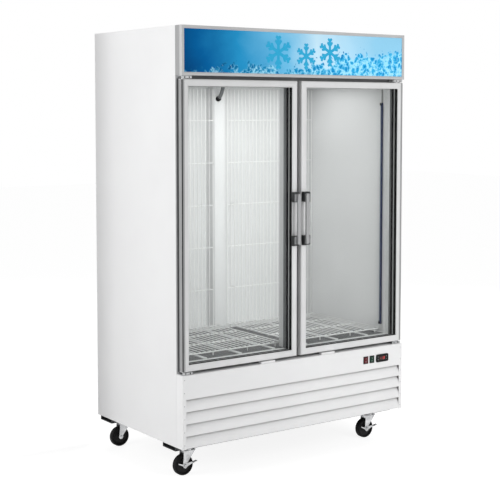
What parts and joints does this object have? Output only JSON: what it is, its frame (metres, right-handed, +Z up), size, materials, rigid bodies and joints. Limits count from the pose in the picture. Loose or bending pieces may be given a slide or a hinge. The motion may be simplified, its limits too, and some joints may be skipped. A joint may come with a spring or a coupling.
{
  "type": "ice merchandiser freezer",
  "caption": "Upright glass-door ice merchandiser freezer with a lit header, louvred base front, wire racks and braked swivel casters; the doors, casters, fans and rocker switches move.",
  "frame": {"origin": "on the floor under the middle of the freezer's outside box, handles included", "axes": "+Z up, -Y towards someone facing the doors, +X to that person's right"},
  "size_m": [1.349, 0.843, 2.098],
  "materials": {
    "white_paint": "smooth white powder coat",
    "dark_plastic": "satin moulded",
    "black_plastic": "fine matt",
    "anodised": "satin anodised",
    "brushed": "brushed along the bar",
    "zinc": "zinc plated",
    "dark_steel": "dark primer",
    "tyre": "black rubber",
    "glass": "clear heated glass unit",
    "seal": "matt black",
    "lit_panel": "backlit printed acrylic",
    "lamp": "frosted lens",
    "liner": "smooth white coat",
    "foam": "foamed in place",
    "white_wire": "white coated wire",
    "finned_coil": "bare fins",
    "red_lens": "red translucent",
    "green_lens": "green translucent"
  },
  "bodies": {
    "cabinet": {"left_side_panel": "white_paint", "right_side_panel": "white_paint", "top_panel": "white_paint", "back_panel": "white_paint", "insulation_body": "foam", "inner_liner": "liner", "door_surround": "dark_plastic", "mullion": "dark_plastic", "left_upper_hinge": "zinc", "left_lower_hinge": "zinc", "right_upper_hinge": "zinc", "right_lower_hinge": "zinc", "header_frame": "anodised", "header_panel": "lit_panel", "header_housing": "anodised", "header_lamp": "lamp", "louvre_panel": "white_paint", "red_switch_bezel": "black_plastic", "green_switch_bezel": "black_plastic", "controller": "black_plastic", "base_frame": "dark_steel", "left_wall_lamp": "lamp", "left_back_guard": "white_wire", "left_floor_rack": "white_wire", "right_wall_lamp": "lamp", "right_back_guard": "white_wire", "right_floor_rack": "white_wire", "mullion_lamp": "lamp", "channel_cover": "liner", "drain_hose": "seal", "evaporator_housing": "liner", "condenser_coil": "finned_coil", "compressor": "black_plastic", "rear_grille": "white_paint"},
    "left_door": {"left_door_frame": "anodised", "left_door_glass": "glass", "left_door_gasket": "seal", "left_handle_upper_mount": "dark_plastic", "left_handle_lower_mount": "dark_plastic", "left_handle_bar": "brushed"},
    "right_door": {"right_door_frame": "anodised", "right_door_glass": "glass", "right_door_gasket": "seal", "right_handle_upper_mount": "dark_plastic", "right_handle_lower_mount": "dark_plastic", "right_handle_bar": "brushed"},
    "red_rocker_switch": {"red_rocker": "red_lens"},
    "green_rocker_switch": {"green_rocker": "green_lens"},
    "front_left_swivel": {"front_left_fork": "zinc"},
    "front_left_roller": {"front_left_wheel": "tyre"},
    "front_left_brake": {"front_left_brake_lever": "zinc"},
    "front_right_swivel": {"front_right_fork": "zinc"},
    "front_right_roller": {"front_right_wheel": "tyre"},
    "front_right_brake": {"front_right_brake_lever": "zinc"},
    "rear_left_swivel": {"rear_left_fork": "zinc"},
    "rear_left_roller": {"rear_left_wheel": "tyre"},
    "rear_right_swivel": {"rear_right_fork": "zinc"},
    "rear_right_roller": {"rear_right_wheel": "tyre"},
    "evaporator_blower": {"evaporator_fan": "dark_plastic"},
    "condenser_blower": {"condenser_fan": "dark_plastic"}
  },
  "joints": [
    {"name": "left_door_hinge", "type": "hinge", "parent": "cabinet", "child": "left_door", "pos_m": [-0.656, -0.3715, 1.188], "axis": [0, 0, -1], "range_deg": [0, 110]},
    {"name": "right_door_hinge", "type": "hinge", "parent": "cabinet", "child": "right_door", "pos_m": [0.656, -0.3715, 1.188], "axis": [0, 0, 1], "range_deg": [0, 110]},
    {"name": "front_left_swivel_turn", "type": "hinge", "parent": "cabinet", "child": "front_left_swivel", "pos_m": [-0.5635, -0.2565, 0.127], "axis": [0, 0, 1], "continuous": true},
    {"name": "front_left_wheel_spin", "type": "hinge", "parent": "front_left_swivel", "child": "front_left_roller", "pos_m": [-0.5915, -0.2565, 0.05], "axis": [0, 1, 0], "continuous": true},
    {"name": "front_left_brake_press", "type": "hinge", "parent": "front_left_swivel", "child": "front_left_brake", "pos_m": [-0.5915, -0.2793, 0.05], "axis": [0, 1, 0], "range_deg": [0, 12]},
    {"name": "front_right_swivel_turn", "type": "hinge", "parent": "cabinet", "child": "front_right_swivel", "pos_m": [0.5635, -0.2565, 0.127], "axis": [0, 0, 1], "continuous": true},
    {"name": "front_right_wheel_spin", "type": "hinge", "parent": "front_right_swivel", "child": "front_right_roller", "pos_m": [0.5355, -0.2565, 0.05], "axis": [0, 1, 0], "continuous": true},
    {"name": "front_right_brake_press", "type": "hinge", "parent": "front_right_swivel", "child": "front_right_brake", "pos_m": [0.5355, -0.2793, 0.05], "axis": [0, 1, 0], "range_deg": [0, 12]},
    {"name": "rear_left_swivel_turn", "type": "hinge", "parent": "cabinet", "child": "rear_left_swivel", "pos_m": [-0.5635, 0.3505, 0.127], "axis": [0, 0, 1], "continuous": true},
    {"name": "rear_left_wheel_spin", "type": "hinge", "parent": "rear_left_swivel", "child": "rear_left_roller", "pos_m": [-0.5915, 0.3505, 0.05], "axis": [0, 1, 0], "continuous": true},
    {"name": "rear_right_swivel_turn", "type": "hinge", "parent": "cabinet", "child": "rear_right_swivel", "pos_m": [0.5635, 0.3505, 0.127], "axis": [0, 0, 1], "continuous": true},
    {"name": "rear_right_wheel_spin", "type": "hinge", "parent": "rear_right_swivel", "child": "rear_right_roller", "pos_m": [0.5355, 0.3505, 0.05], "axis": [0, 1, 0], "continuous": true},
    {"name": "evaporator_fan_spin", "type": "hinge", "parent": "cabinet", "child": "evaporator_blower", "pos_m": [0, 0.011, 1.8672], "axis": [0, 0, 1], "continuous": true},
    {"name": "condenser_fan_spin", "type": "hinge", "parent": "cabinet", "child": "condenser_blower", "pos_m": [-0.3, -0.089, 0.2983], "axis": [0, 1, 0], "continuous": true},
    {"name": "red_rocker_turn", "type": "hinge", "parent": "cabinet", "child": "red_rocker_switch", "pos_m": [0.4265, -0.3915, 0.445], "axis": [-1, 0, 0], "range_deg": [0, 14]},
    {"name": "green_rocker_turn", "type": "hinge", "parent": "cabinet", "child": "green_rocker_switch", "pos_m": [0.4675, -0.3915, 0.445], "axis": [-1, 0, 0], "range_deg": [0, 14]}
  ]
}
